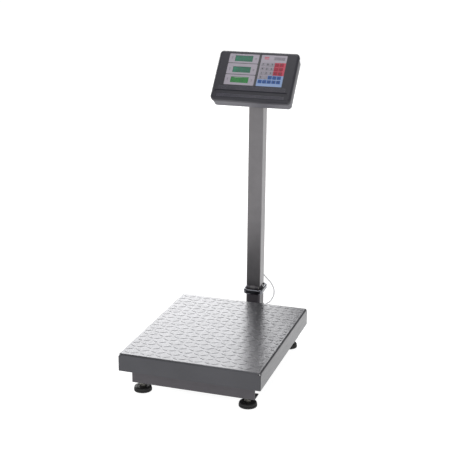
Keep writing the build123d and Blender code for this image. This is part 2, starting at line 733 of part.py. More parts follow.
with BuildPart() as front_bezel:
    add(head_outline(face, 0, head_bottom_corner))
    extrude(amount=-bezel_depth, dir=face.z_dir)
    fillet(front_bezel.faces().sort_by(Axis(face_origin, face_out))[-1].edges(), radius=head_edge)
    bezel_floor = face.offset(-panel_recess - head_wall)
    with BuildPart(mode=Mode.PRIVATE) as cavity:
        add(head_outline(bezel_floor, head_wall, head_bottom_corner - head_wall))
        extrude(amount=-bezel_depth, dir=face.z_dir)
        cavity_front = cavity.faces().sort_by(Axis(face_origin, face_out))[-1]
        fillet(cavity_front.edges(), radius=head_edge - head_wall - panel_recess)
    add(cavity.part, mode=Mode.SUBTRACT)
    with BuildSketch(face):
        with Locations((0, panel_centre_up)):
            Rectangle(panel_width, panel_height)
    extrude(amount=-panel_recess, mode=Mode.SUBTRACT)
    with BuildSketch(face):
        with Locations(*[(display_x, up) for up in display_ups]):
            Rectangle(display_width + 2 * sliding, display_height + 2 * sliding)
        with Locations(*[(x, up) for row, column, x, up in key_places]):
            Rectangle(key_width + 2 * sliding, key_height + 2 * sliding)
    extrude(amount=-panel_recess - head_wall, mode=Mode.SUBTRACT)
    with BuildSketch(face):
        with Locations((0, -chin_groove_top - chin_groove_height / 2)):
            RectangleRounded(chin_groove_width, chin_groove_height, chin_groove_height / 3)
    extrude(amount=-chin_groove_depth, mode=Mode.SUBTRACT)
    with BuildSketch(bezel_floor):
        with Locations(*[(x, up) for x in (-boss_x, boss_x) for up in boss_ups]):
            Circle(boss_radius)
    extrude(amount=panel_recess + head_wall - case_depth + head_wall)
    with BuildSketch(face.offset(head_wall - case_depth)):
        with Locations(*[(x, up) for x in (-boss_x, boss_x) for up in boss_ups]):
            Circle(screw_radius + running)
    extrude(amount=screw_length, mode=Mode.SUBTRACT)
front_bezel.part.label = "front_bezel"
export_step(front_bezel.part, "parts/front_bezel.step")

with BuildPart() as rear_case:
    shell_depth = case_depth - bezel_depth
    chin_drop = case_inset - case_chin_inset
    seat = head_outline(face.offset(-bezel_depth), case_inset, case_corner, chin_drop)
    extrude(seat, amount=shell_depth, dir=-face.z_dir, taper=case_taper)
    inside = head_outline(
        face.offset(-bezel_depth), case_inset + head_wall, case_corner - head_wall, chin_drop
    )
    extrude(inside, amount=shell_depth - head_wall, dir=-face.z_dir, taper=case_taper, mode=Mode.SUBTRACT)
    with BuildSketch(face.offset(-bezel_depth)):
        add(head_outline(Plane.XY, head_wall + sliding, head_bottom_corner - head_wall))
        lip_inside = head_outline(Plane.XY, case_inset + head_wall, case_corner - head_wall, chin_drop)
        add(lip_inside, mode=Mode.SUBTRACT)
    extrude(amount=head_wall)
    with BuildSketch(face.offset(case_back)):
        with Locations(*[(x, up) for x in (-boss_x, boss_x) for up in boss_ups]):
            Circle(screw_radius + sliding)
        with Locations((0, pivot_up)):
            with GridLocations(2 * bracket_screw_x, 2 * bracket_screw_up, 2, 2):
                Circle(screw_radius + running)
        with Locations((rocker_x, rocker_up)):
            Rectangle(rocker_width + 2 * sliding, rocker_well_height)
    extrude(amount=head_wall, mode=Mode.SUBTRACT)
rear_case.part.label = "rear_case"
export_step(rear_case.part, "parts/rear_case.step")

with BuildPart() as head_screws:
    for places, head_back, reach in (
        ([(x, up) for x in (-boss_x, boss_x) for up in boss_ups], case_back, screw_length),
        (
            [(x, pivot_up + up) for x in (-bracket_screw_x, bracket_screw_x)
             for up in (-bracket_screw_up, bracket_screw_up)],
            plate_back,
            bracket_plate + head_wall,
        ),
    ):
        with BuildSketch(face.offset(head_back)):
            with Locations(*places):
                Circle(screw_head_radius)
        extrude(amount=-screw_head_height)
        with BuildSketch(face.offset(head_back)):
            with Locations(*places):
                Circle(screw_radius)
        extrude(amount=reach)
head_screws.part.label = "head_screws"
export_step(head_screws.part, "parts/head_screws.step")

# ---------------------------------------------------------------- what the head holds
panel_floor = -panel_recess
with BuildPart() as panel_overlay:
    with BuildSketch(face.offset(panel_floor)):
        with Locations((0, panel_centre_up)):
            Rectangle(panel_width, panel_height)
        with Locations(*[(display_x, up) for up in display_ups]):
            Rectangle(display_width + 2 * sliding, display_height + 2 * sliding, mode=Mode.SUBTRACT)
        with Locations(*[(x, up) for row, column, x, up in key_places]):
            Rectangle(key_width + 2 * sliding, key_height + 2 * sliding, mode=Mode.SUBTRACT)
    extrude(amount=overlay_thickness)
panel_overlay.part.label = "panel_overlay"
export_step(panel_overlay.part, "parts/panel_overlay.step")

key_bottom = -panel_recess - head_wall - key_travel
board_top = key_bottom - board_gap
for row, column, x, up in key_places:
    with BuildPart() as key:
        with BuildSketch(face.offset(key_bottom)):
            with Locations((x, up)):
                RectangleRounded(key_width, key_height, key_corner)
        extrude(amount=key_proud - key_bottom)
        fillet(key.faces().sort_by(Axis(face_origin, face_out))[-1].edges(), radius=key_proud / 2)
    key.part.label = f"key_{row + 1}_{column + 1}"
    export_step(key.part, f"parts/key_{row + 1}_{column + 1}.step")

with BuildPart() as display_modules:
    with BuildSketch(face.offset(board_top)):
        with Locations(*[(display_x, up) for up in display_ups]):
            Rectangle(display_width, display_height)
    extrude(amount=-board_top - panel_recess + overlay_thickness - display_recess)
display_modules.part.label = "display_modules"
export_step(display_modules.part, "parts/display_modules.step")

with BuildPart() as main_board:
    with BuildSketch(face.offset(board_top)):
        with Locations((0, panel_centre_up)):
            Rectangle(board_width, board_height)
    extrude(amount=-board_thickness)
main_board.part.label = "main_board"
export_step(main_board.part, "parts/main_board.step")

with BuildPart() as battery:
    with BuildSketch(face.offset(head_wall - case_depth)):
        with Locations((0, battery_up)):
            Rectangle(battery_width, battery_height)
    extrude(amount=battery_thickness)
battery.part.label = "battery"
export_step(battery.part, "parts/battery.step")

# The rocker stands at its off position, leaning one way; the other end down is on.
rocker_pivot = face_side.from_local_coords((rocker_up, case_back + rocker_pivot_in, rocker_x))
rocker_up_dir = Vector(face_up).rotate(Axis.X, -rocker_lean)
rocker_side = Plane(origin=rocker_pivot, x_dir=rocker_up_dir, z_dir=(1, 0, 0))
with BuildPart() as power_rocker:
    with BuildSketch(rocker_side):
        with BuildLine():
            Polyline(
                (-rocker_height / 2, -rocker_pivot_in - rocker_proud),
                (0, -rocker_pivot_in - rocker_valley),
                (rocker_height / 2, -rocker_pivot_in - rocker_proud),
                (rocker_height / 2, rocker_pivot_in),
                (rocker_height / 4, rocker_root),
                (-rocker_height / 4, rocker_root),
                (-rocker_height / 2, rocker_pivot_in),
                close=True,
            )
        make_face()
    extrude(amount=rocker_width / 2, both=True)
power_rocker.part.label = "power_rocker"
export_step(power_rocker.part, "parts/power_rocker.step")

# ---------------------------------------------------------------- signal cable
# It leaves the column's grommet, loops behind the joint and goes into the arm's end cap.
cable_route = [
    Vector(2, 313, 172),
    Vector(2, 334, 172),
    Vector(13, 350, 146),
    Vector(37, 359, 118),
    Vector(46, 360, 89),
    Vector(36, 358, 60),
    Vector(16, 352, 46),
    Vector(0, 340, 47.5),
    Vector(0, 320, 47.5),
]
cable_runs = [end - start for start, end in zip(cable_route, cable_route[1:])]
cable_radii = [
    cable_arc_share * min(before.length, after.length) / tan(radians(before.get_angle(after) / 2))
    for before, after in zip(cable_runs, cable_runs[1:])
]
print("cable bend radii", [round(radius, 1) for radius in cable_radii])
with BuildPart() as signal_cable:
    with BuildLine() as cable_line:
        FilletPolyline(*cable_route, radius=cable_radii)
    with BuildSketch(Plane(origin=cable_route[0], z_dir=cable_runs[0])):
        Circle(cable_radius)
    sweep(path=cable_line.wire())
cable_length = cable_line.wire().length
print("cable length", round(cable_length, 1))
print("cable volume", round(signal_cable.part.volume), "against", round(cable_length * pi * cable_radius**2))
signal_cable.part.label = "signal_cable"
export_step(signal_cable.part, "parts/signal_cable.step")
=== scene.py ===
"""Finishes and fine detail of the folding-column platform scale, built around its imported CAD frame.

Everything is in metres in the frame's own axes: +X right, +Y from the user to the column, +Z up.
"""

from math import ceil, cos, pi, radians, sin, sqrt, tan

import bmesh
import bpy
from bpy.props import FloatProperty, FloatVectorProperty, IntProperty, PointerProperty
from mathutils import Matrix, Vector


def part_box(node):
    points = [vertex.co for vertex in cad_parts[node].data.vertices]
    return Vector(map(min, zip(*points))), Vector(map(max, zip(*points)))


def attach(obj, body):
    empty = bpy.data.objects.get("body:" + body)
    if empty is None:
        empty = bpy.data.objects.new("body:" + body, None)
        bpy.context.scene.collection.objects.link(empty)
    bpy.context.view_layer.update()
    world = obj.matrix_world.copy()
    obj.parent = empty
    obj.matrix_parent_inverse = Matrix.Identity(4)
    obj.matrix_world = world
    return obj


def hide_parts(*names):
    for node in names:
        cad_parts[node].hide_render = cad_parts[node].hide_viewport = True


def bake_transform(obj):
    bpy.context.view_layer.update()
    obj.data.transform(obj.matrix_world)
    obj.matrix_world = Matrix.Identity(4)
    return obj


bl_info = {
    "name": "Platform scale finishes",
    "version": (1, 0, 0),
    "blender": (4, 5, 0),
    "location": "View3D > Sidebar > Platform scale",
    "description": "Paints the platform scale's CAD parts and adds its treads, feet, panel and trim",
    "category": "Object",
}

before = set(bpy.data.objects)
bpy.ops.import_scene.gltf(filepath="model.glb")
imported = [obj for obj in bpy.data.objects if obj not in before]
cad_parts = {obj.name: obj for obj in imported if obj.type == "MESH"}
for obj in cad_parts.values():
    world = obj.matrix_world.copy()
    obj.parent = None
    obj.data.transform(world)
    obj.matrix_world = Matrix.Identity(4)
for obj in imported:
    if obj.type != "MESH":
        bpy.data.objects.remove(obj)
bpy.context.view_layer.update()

MM = 0.001


def linear(code):
    """An sRGB hex colour as the three linear values that Blender works in."""
    channels = [int(code[start:start + 2], 16) / 255 for start in (0, 2, 4)]
    return tuple(c / 12.92 if c <= 0.04045 else ((c + 0.055) / 1.055) ** 2.4 for c in channels)


def size_property(label, millimetres, text):
    """A length that the user can change, given in millimetres and kept in metres."""
    return FloatProperty(
        name=label, description=text, default=millimetres * MM, min=0.0, unit="LENGTH", precision=5
    )


def angle_property(label, degrees, text):
    """An angle that the user can change, given in degrees."""
    return FloatProperty(name=label, description=text, default=radians(degrees), subtype="ANGLE")


def colour_property(label, code, text):
    """A paint or plastic colour that the user can change."""
    return FloatVectorProperty(
        name=label, description=text, default=linear(code), min=0.0, max=1.0, size=3, subtype="COLOR"
    )


class ScaleSizes(bpy.types.PropertyGroup):
    """Sizes of the detail that is added to the CAD parts."""

    tread_pitch: size_property("Tread pitch", 23.0, "Distance between neighbouring treads")
    tread_length: size_property("Tread length", 23.0, "Length of one raised tread")
    tread_width: size_property("Tread width", 6.0, "Width of one raised tread")
    tread_rise: size_property("Tread rise", 0.5, "Height of a tread above the sheet")
    tread_margin: size_property("Tread margin", 5.5, "Plain sheet between the treads and the bend")
    thread_pitch: size_property("Stud thread pitch", 1.5, "Pitch of the levelling studs' thread")
    bead_radius: size_property("Weld bead radius", 2.0, "Half the width of a weld bead")
    rib_pitch: size_property("Chin rib pitch", 3.4, "Distance between the ribs below the panel")
    rib_rise: size_property("Chin rib rise", 0.9, "Height of a rib on the chin")
    ink_lift: size_property("Ink lift", 0.05, "Height of the printed film above the overlay")
    digit_height: size_property("Display digit height", 13.0, "Height of a seven-segment digit")
    cable_diameter: size_property("Cable diameter", 5.0, "Outside diameter of the signal cable")
    head_lean: angle_property("Head lean", 38.9, "Angle between the head's face and the vertical")
    tread_lean: angle_property("Tread lean", 32.0, "Turn of a tread to either side of the tray's width")
    tread_steps: IntProperty(name="Tread steps", description="Steps along half of a tread", default=5)


class ScaleColours(bpy.types.PropertyGroup):
    """Paint, plastic and ink colours."""

    tray: colour_property("Tray paint", "47474B", "Silver powder coat on the tray")
    base: colour_property("Base paint", "49464B", "Dark powder coat on the base")
    column: colour_property("Column paint", "747274", "Satin powder coat on the column")
    head: colour_property("Head plastic", "22212A", "Moulded plastic of the head's front")
    case: colour_property("Case plastic", "5A5960", "Moulded plastic of the head's rear case")
    black: colour_property("Black plastic", "141416", "Nylon trim and knob")
    rubber: colour_property("Rubber", "0E0E0F", "Feet, pads and grommet")
    film: colour_property("Overlay film", "26262B", "Ground colour of the printed overlay")
    print_light: colour_property("Light ink", "928C97", "Light fields of the overlay")
    print_blue: colour_property("Light blue ink", "788FB6", "Backdrop of the function keys")
    print_red: colour_property("Red ink", "A82A44", "Accent on the overlay")
    display: colour_property("Display", "2C6A54", "Lit ground of the displays")
    display_low: colour_property("Lower display", "2C7C3A", "Lit ground of the lowest display")
    segment: colour_property("Segments", "17352A", "Dark segments of the displays")
    key_grey: colour_property("Number keys", "85828B", "Number keys")
    key_red: colour_property("Red keys", "8E1530", "Clearing and tare keys")
    key_blue: colour_property("Blue keys", "204A88", "Function keys")
    legend: colour_property("Legend ink", "16161C", "Figures on the keys")
    cable: colour_property("Cable sheath", "E4E4E6", "Sheath of the signal cable")


class StageSettings(bpy.types.PropertyGroup):
    """Camera and light."""

    azimuth: angle_property("Azimuth", 17.839, "Camera's angle from the front")
    elevation: angle_property("Elevation", 16.563, "Camera's angle above the floor")
    roll: angle_property("Roll", 0.535, "Camera's turn about its own axis")
    place: FloatVectorProperty(name="Camera place", description="Where the camera stands",
                               default=(0.87687, -2.71231, 1.24703), size=3, subtype="TRANSLATION")
    lens: FloatProperty(name="Lens", description="Focal length in millimetres on a 36 mm sensor",
                        default=82.07)
    floor_size: FloatProperty(name="Floor", description="Side of the square floor", default=60.0,
                              unit="LENGTH")
    lamp_power: FloatProperty(name="Lamp power", description="Scales every studio lamp", default=1.0)


def sizes():
    return bpy.context.scene.scale_sizes


def colours():
    return bpy.context.scene.scale_colours


# ------------------------------------------------------------------------------ materials
def add_node(tree, kind, values=None, links=None, **settings):
    """Adds a node: values fill its own sockets, links feed the others, settings are its options."""
    node = tree.nodes.new(kind)
    for name, value in settings.items():
        setattr(node, name, value)
    for name, value in (values or {}).items():
        node.inputs[name].default_value = value
    for name, source in (links or {}).items():
        tree.links.new(source, node.inputs[name])
    return node


def start_material(name, **values):
    """A new material with one Principled shader; the values go straight on the shader's sockets."""
    material = bpy.data.materials.new(name)
    material.use_nodes = True
    tree = material.node_tree
    shader = tree.nodes["Principled BSDF"]
    for socket, value in values.items():
        shader.inputs[socket.replace("_", " ")].default_value = value
    place = add_node(tree, "ShaderNodeTexCoord").outputs["Object"]
    return material, tree, shader, place


def vary_colour(tree, shader, place, colour, grain, spread):
    """Gives the base colour a soft cloudiness: grain is its size, spread its share of the colour."""
    noise = add_node(tree, "ShaderNodeTexNoise", {"Scale": 1 / grain, "Detail": 3.0}, {"Vector": place})
    ramp = add_node(tree, "ShaderNodeValToRGB", links={"Fac": noise.outputs["Fac"]})
    for element, position, share in zip(ramp.color_ramp.elements, (0.3, 0.7), (1 - spread, 1 + spread)):
        element.position = position
        element.color = (*[min(1.0, c * share) for c in colour], 1.0)
    tree.links.new(ramp.outputs["Color"], shader.inputs["Base Color"])


def vary_roughness(tree, shader, place, grain, low, high):
    """Handled and dusty patches: the roughness drifts between two values."""
    noise = add_node(tree, "ShaderNodeTexNoise", {"Scale": 1 / grain, "Detail": 4.0}, {"Vector": place})
    drift = add_node(tree, "ShaderNodeMapRange", {"To Min": low, "To Max": high},
                     {"Value": noise.outputs["Fac"]})
    tree.links.new(drift.outputs["Result"], shader.inputs["Roughness"])


def bump(tree, shader, height, depth, below=None):
    """Relief of the given depth in metres, on top of an earlier relief if there is one."""
    links = {"Height": height}
    if below:
        links["Normal"] = below.outputs["Normal"]
    node = add_node(tree, "ShaderNodeBump", {"Distance": depth}, links)
    tree.links.new(node.outputs["Normal"], shader.inputs["Normal"])
    return node


def noise_relief(tree, shader, place, grain, depth, below=None):
    """Relief of a fine noise whose grain and depth are in metres."""
    noise = add_node(tree, "ShaderNodeTexNoise", {"Scale": 1 / grain, "Detail": 2.0}, {"Vector": place})
    return bump(tree, shader, noise.outputs["Fac"], depth, below)


def powder_coat(name, colour, metallic, roughness):
    """Metallic powder coat, sprayed and baked on steel: a satin sheen over fine orange peel."""
    material, tree, shader, place = start_material(
        name, Metallic=metallic, Roughness=roughness, IOR=1.5, Coat_Weight=0.15, Coat_Roughness=0.25
    )
    vary_colour(tree, shader, place, colour, 0.03, 0.05)
    vary_roughness(tree, shader, place, 0.05, roughness - 0.05, roughness + 0.07)
    peel = noise_relief(tree, shader, place, 1.8 * MM, 0.06 * MM)
    noise_relief(tree, shader, place, 0.35 * MM, 0.015 * MM, below=peel)
    return material


def tray_paint():
    """Silver powder coat on tread plate: bright at a low angle, dull on the skirts, scuffed on top."""
    material, tree, shader, place = start_material(
        "silver_powder_coat", Metallic=0.65, Roughness=0.3, IOR=1.5, Coat_Weight=0.2, Coat_Roughness=0.2
    )
    vary_colour(tree, shader, place, colours().tray, 0.06, 0.06)
    # shoes and crates leave long faint rubs along the tray
    lengthwise = add_node(tree, "ShaderNodeMapping", {"Scale": (1.0, 0.12, 1.0)}, {"Vector": place})
    rubs = add_node(tree, "ShaderNodeTexNoise", {"Scale": 1 / (7 * MM), "Detail": 5.0},
                    {"Vector": lengthwise.outputs["Vector"]})
    worn = add_node(tree, "ShaderNodeMapRange",
                    {"From Min": 0.35, "From Max": 0.7, "To Min": 0.29, "To Max": 0.335},
                    {"Value": rubs.outputs["Fac"]})
    tree.links.new(worn.outputs["Result"], shader.inputs["Roughness"])
    peel = noise_relief(tree, shader, place, 2.2 * MM, 0.08 * MM)
    noise_relief(tree, shader, place, 0.4 * MM, 0.02 * MM, below=peel)
    return material


def base_paint():
    return powder_coat("dark_powder_coat", colours().base, 0.25, 0.42)


def column_paint():
    return powder_coat("satin_powder_coat", colours().column, 0.75, 0.3)


def zinc_plate():
    """Zinc-plated steel: cool, slightly yellowed and mottled by the passivation, softly shiny."""
    material, tree, shader, place = start_material("zinc_plated_steel", Metallic=1.0, Roughness=0.3)
    vary_colour(tree, shader, place, linear("8F8E88"), 4 * MM, 0.12)
    vary_roughness(tree, shader, place, 3 * MM, 0.24, 0.42)
    noise_relief(tree, shader, place, 0.6 * MM, 0.01 * MM)
    return material


def chrome_plate():
    """Chrome on a steel ring, its mirror colour darkened so that it shows dark and light bands: the dark is
    a painted reflection; a little cloudy from handling.
    """
    material, tree, shader, place = start_material("darkened_chrome", Metallic=1.0, Roughness=0.07)
    # a darkened mirror colour: painted reflection of dark surroundings, which the studio lacks
    vary_colour(tree, shader, place, linear("6C6D72"), 12 * MM, 0.04)
    vary_roughness(tree, shader, place, 9 * MM, 0.04, 0.14)
    return material


def hinge_steel():
    """Painted hinge steel: a darker and duller coat of the column's paint."""
    return powder_coat("darker_duller_powder_coat", [c * 0.8 for c in colours().column], 0.35, 0.42)


def weld_metal():
    """Weld bead under paint: the base paint, a little darker and glossier than on flat steel."""
    return powder_coat("painted_weld", [c * 0.9 for c in colours().base], 0.3, 0.35)


def milled_aluminium():
    """Anodised aluminium block, milled: pale grey with fine cutter lines about 1 mm apart."""
    material, tree, shader, place = start_material("anodised_aluminium", Metallic=1.0, Roughness=0.35)
    vary_colour(tree, shader, place, linear("B4B6BA"), 20 * MM, 0.04)
    lines = add_node(tree, "ShaderNodeTexWave", {"Scale": 1 / (3 * MM), "Distortion": 0.6},
                     {"Vector": place}, bands_direction="Y")
    bump(tree, shader, lines.outputs["Fac"], 0.01 * MM)
    return material


def moulded_rubber():
    """Black moulded rubber: matt, a little dusty, with the mould's spark-eroded skin."""
    material, tree, shader, place = start_material("moulded_rubber", Roughness=0.62, IOR=1.52)
    vary_colour(tree, shader, place, colours().rubber, 6 * MM, 0.25)
    vary_roughness(tree, shader, place, 8 * MM, 0.5, 0.72)
    noise_relief(tree, shader, place, 0.5 * MM, 0.05 * MM)
    return material


def plastic(name, colour, roughness, grain, depth):
    """Injection-moulded plastic with a textured skin: soft highlights broken up by fine grain."""
    material, tree, shader, place = start_material(name, Roughness=roughness, IOR=1.49)
    vary_colour(tree, shader, place, colour, 0.04, 0.05)
    vary_roughness(tree, shader, place, 0.03, roughness - 0.06, roughness + 0.08)
    cells = add_node(tree, "ShaderNodeTexVoronoi", {"Scale": 1 / grain}, {"Vector": place})
    grained = bump(tree, shader, cells.outputs["Distance"], depth)
    noise_relief(tree, shader, place, grain / 3, depth / 3, below=grained)
    return material


def head_plastic():
    return plastic("textured_abs", colours().head, 0.42, 0.9 * MM, 0.05 * MM)


def case_plastic():
    """The rear case: a paler batch of the same ABS, a little rougher than the front."""
    return plastic("pale_abs", colours().case, 0.46, 1.1 * MM, 0.06 * MM)


def rib_plastic():
    """The same ABS on the ribs' crests, made paler: a painted sheen for the light that the ribbed chin
    catches.
    """
    return plastic("abs_with_painted_sheen", linear("4A4953"), 0.3, 0.9 * MM, 0.03 * MM)


def black_nylon():
    return plastic("moulded_nylon", colours().black, 0.45, 0.7 * MM, 0.04 * MM)


def key_plastic(name, colour):
    """Moulded silicone key: satin, with a slight bloom from fingers."""
    material, tree, shader, place = start_material(name, Roughness=0.38, IOR=1.46, Coat_Weight=0.2)
    vary_colour(tree, shader, place, colour, 5 * MM, 0.06)
    vary_roughness(tree, shader, place, 3 * MM, 0.3, 0.48)
    noise_relief(tree, shader, place, 0.4 * MM, 0.012 * MM)
    return material


def printed_film(name, colour):
    """Screen print on matt polyester: even colour under a fine velvet texture of the film."""
    material, tree, shader, place = start_material(
        name, Roughness=0.36, IOR=1.57, Coat_Weight=0.3, Coat_Roughness=0.3
    )
    vary_colour(tree, shader, place, colour, 0.02, 0.03)
    noise_relief(tree, shader, place, 0.35 * MM, 0.01 * MM)
    return material


def lit_display(name, colour):
    """Backlit liquid-crystal glass: a faint glow in soft patches behind a glossy front."""
    material, tree, shader, place = start_material(
        name, Roughness=0.18, IOR=1.5, Coat_Weight=1.0, Coat_Roughness=0.08, Emission_Strength=0.08
    )
    vary_colour(tree, shader, place, colour, 0.012, 0.12)
    glow = add_node(tree, "ShaderNodeTexNoise", {"Scale": 1 / 0.018, "Detail": 1.0}, {"Vector": place})
    ramp = add_node(tree, "ShaderNodeValToRGB", links={"Fac": glow.outputs["Fac"]})
    for element, share in zip(ramp.color_ramp.elements, (0.7, 1.2)):
        element.color = (*[min(1.0, c * share) for c in colour], 1.0)
    tree.links.new(ramp.outputs["Color"], shader.inputs["Emission Color"])
    return material


def circuit_board():
    """Glass-fibre board with solder mask: green, glossy, with the weave just showing."""
    material, tree, shader, place = start_material("solder_masked_board", Roughness=0.3, IOR=1.55)
    vary_colour(tree, shader, place, linear("1F5A3A"), 8 * MM, 0.15)
    weave = add_node(tree, "ShaderNodeTexChecker", {"Scale": 1 / (0.8 * MM)}, {"Vector": place})
    bump(tree, shader, weave.outputs["Fac"], 0.01 * MM)
    return material


def battery_case():
    """Sealed lead battery's ribbed case: plain dark blue-grey polypropylene."""
    return plastic("moulded_polypropylene", linear("30343C"), 0.4, 1.2 * MM, 0.04 * MM)


def cable_sheath():
    """Extruded PVC sheath: smooth pale grey with a soft sheen and faint draw lines."""
    material, tree, shader, place = start_material(
        "extruded_pvc", Roughness=0.35, IOR=1.53, Coat_Weight=0.15
    )
    vary_colour(tree, shader, place, colours().cable, 9 * MM, 0.05)
    noise_relief(tree, shader, place, 0.9 * MM, 0.02 * MM)
    return material


def seamless_paper():
    """White studio paper that glows, so that only a breath of shadow is left on it."""
    material, tree, shader, place = start_material(
        "seamless_paper", Roughness=0.9, Emission_Strength=0.93, Emission_Color=(1, 1, 1, 1)
    )
    vary_colour(tree, shader, place, linear("969696"), 0.4, 0.01)
    return material


MATERIALS = {
    "paper": seamless_paper,
    "tray": tray_paint,
    "base": base_paint,
    "column": column_paint,
    "hinge": hinge_steel,
    "weld": weld_metal,
    "zinc": zinc_plate,
    "chrome": chrome_plate,
    "aluminium": milled_aluminium,
    "rubber": moulded_rubber,
    "head": head_plastic,
    "case": case_plastic,
    "rib": rib_plastic,
    "black": black_nylon,
    "board": circuit_board,
    "battery": battery_case,
    "cable": cable_sheath,
    "film": lambda: printed_film("polyester_film", colours().film),
    "light_ink": lambda: printed_film("light_ink", colours().print_light),
    "blue_ink": lambda: printed_film("light_blue_ink", colours().print_blue),
    "red_ink": lambda: printed_film("red_ink", colours().print_red),
    "legend_ink": lambda: printed_film("legend_ink", colours().legend),
    "label": lambda: printed_film("blank_label_film", linear("9C9CA0")),
    "display": lambda: lit_display("lit_display", colours().display),
    "display_low": lambda: lit_display("lit_lower_display", colours().display_low),
    "segment": lambda: printed_film("display_segment", colours().segment),
    "key_grey": lambda: key_plastic("grey_silicone", colours().key_grey),
    "key_red": lambda: key_plastic("red_silicone", colours().key_red),
    "key_blue": lambda: key_plastic("blue_silicone", colours().key_blue),
}
made_materials = {}


def finish_named(name):
    """The material of that short name, made the first time it is asked for."""
    if name not in made_materials:
        made_materials[name] = MATERIALS[name]()
    return made_materials[name]


CAD_FINISHES = {
    "tray": ("tray",),
    "base": ("base_front_channel", "base_rear_channel", "base_inner_rails", "outrigger_arm", "stub_post",
             "top_frame_rails", "hinge_lower_leaf"),
    "black": ("arm_end_cap", "tilt_knob", "power_rocker"),
    "aluminium": ("load_cell",),
    "zinc": ("load_cell_spacers", "load_cell_bolts", "overload_stops", "hinge_pin"),
    "rubber": ("tray_pads", "column_grommet"),
    "hinge": ("column_hinge_block", "head_bracket"),
    "chrome": ("lock_ring",),
    "column": ("column_tube",),
    "head": ("front_bezel",),
    "case": ("rear_case",),
    "board": ("main_board",),
    "battery": ("battery",),
    "film": ("panel_overlay",),
    "display": ("display_modules",),
}


def paint(node, name):
    """Gives a CAD part a finish."""
    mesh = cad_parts[node].data
    mesh.materials.clear()
    mesh.materials.append(finish_named(name))


class SCALE_OT_paint(bpy.types.Operator):
    """Finishes the CAD parts that keep their own shape"""

    bl_idname = "scale.paint"
    bl_label = "Finishes"

    def execute(self, context):
        for name, nodes in CAD_FINISHES.items():
            for node in nodes:
                paint(node, name)
        return {"FINISHED"}


# ------------------------------------------------------------------------------ shapes
# A shape is a pair of lists, its corners and its faces.
def placed(shape, matrix):
    corners, faces = shape
    return [matrix @ Vector(corner) for corner in corners], faces


def joined(shapes):
    """Several shapes as one."""
    corners, faces = [], []
    for more_corners, more_faces in shapes:
        first = len(corners)
        corners.extend(more_corners)
        faces.extend([tuple(first + index for index in face) for face in more_faces])
    return corners, faces


def around(radius, share, height):
    """The point at that share of a turn about +Z."""
    return radius * cos(2 * pi * share), radius * sin(2 * pi * share), height


def stacked(rings, closed=False):
    """Faces between rings of as many corners each; the ends are capped, or joined if it is closed."""
    corners = [corner for ring in rings for corner in ring]
    count = len(rings[0])
    faces = []
    pairs = len(rings) if closed else len(rings) - 1
    for level in range(pairs):
        low = level * count
        high = (level + 1) % len(rings) * count
        for step in range(count):
            after = (step + 1) % count
            faces.append((low + step, low + after, high + after, high + step))
    if not closed:
        faces.append(tuple(reversed(range(count))))
        faces.append(tuple(range(len(corners) - count, len(corners))))
    return corners, faces


def turned(profile, steps):
    """A profile of (radius, height) pairs turned about +Z; both ends are closed flat."""
    return stacked([[around(radius, step / steps, height) for step in range(steps)]
                    for radius, height in profile])


def rounded_rectangle(width, height, radius, steps=5):
    """Outline of a rectangle with round corners, anticlockwise from the lower right."""
    points = []
    for corner_x, corner_y, start in ((1, -1, -90), (1, 1, 0), (-1, 1, 90), (-1, -1, 180)):
        for step in range(steps + 1):
            angle = radians(start + 90 * step / steps)
            points.append((
                corner_x * (width / 2 - radius) + radius * cos(angle),
                corner_y * (height / 2 - radius) + radius * sin(angle),
            ))
    return points


def plate(width, height, radius, thickness, edge):
    """A plate on z = 0 with round corners and a rolled-over upper edge."""
    levels = [(0.0, 0.0)]
    for step in range(4):
        angle = radians(30 * step)
        levels.append((edge * (1 - cos(angle)), thickness - edge + edge * sin(angle)))
    rings = []
    for inset, level in levels:
        outline = rounded_rectangle(width - 2 * inset, height - 2 * inset, max(radius - inset, edge / 10))
        rings.append([(x, y, level) for x, y in outline])
    return stacked(rings)


def sheet_with_holes(outline, holes, thickness):
    """A thin sheet on z = 0 with openings, filled between its outlines and given its thickness."""
    work = bmesh.new()
    for loop in [outline, *holes]:
        ring = [work.verts.new((x, y, 0.0)) for x, y in loop]
        for first, second in zip(ring, ring[1:] + ring[:1]):
            work.edges.new((first, second))
    bmesh.ops.triangle_fill(work, use_beauty=True, edges=work.edges[:])
    bmesh.ops.recalc_face_normals(work, faces=work.faces[:])
    if work.faces and sum(face.normal.z for face in work.faces) < 0:
        bmesh.ops.reverse_faces(work, faces=work.faces[:])
    bmesh.ops.solidify(work, geom=work.faces[:], thickness=thickness)
    work.verts.index_update()
    shape = [v.co.copy() for v in work.verts], [tuple(v.index for v in f.verts) for f in work.faces]
    work.free()
    return shape


def swept(points, radius_at, segments):
    """A round rod along a line of points; radius_at gives its radius at each point's number."""
    points = [Vector(point) for point in points]
    neighbours = zip(points[:1] + points[:-1], points[1:] + points[-1:])
    headings = [(after - before).normalized() for before, after in neighbours]
    side = headings[0].orthogonal().normalized()
    rings = []
    for index, (point, heading) in enumerate(zip(points, headings)):
        side = (side - heading * side.dot(heading)).normalized()
        across = heading.cross(side)
        radius = radius_at(index)
        rings.append([
            point + radius * (cos(2 * pi * step / segments) * side + sin(2 * pi * step / segments) * across)
            for step in range(segments)
        ])
    return stacked(rings)


def weld_bead(start, end):
    """A rippled bead along a straight run."""
    start, end = Vector(start), Vector(end)
    radius = sizes().bead_radius
    ripple = 3  # points to a ripple
    steps = max(1, ceil((end - start).length / (radius / 3)))
    points = [start.lerp(end, step / steps) for step in range(steps + 1)]

    def radius_at(index):
        return radius * (1 + 0.14 * cos(2 * pi * index / ripple) + 0.06 * sin(index * 0.7))

    return swept(points, radius_at, 10)


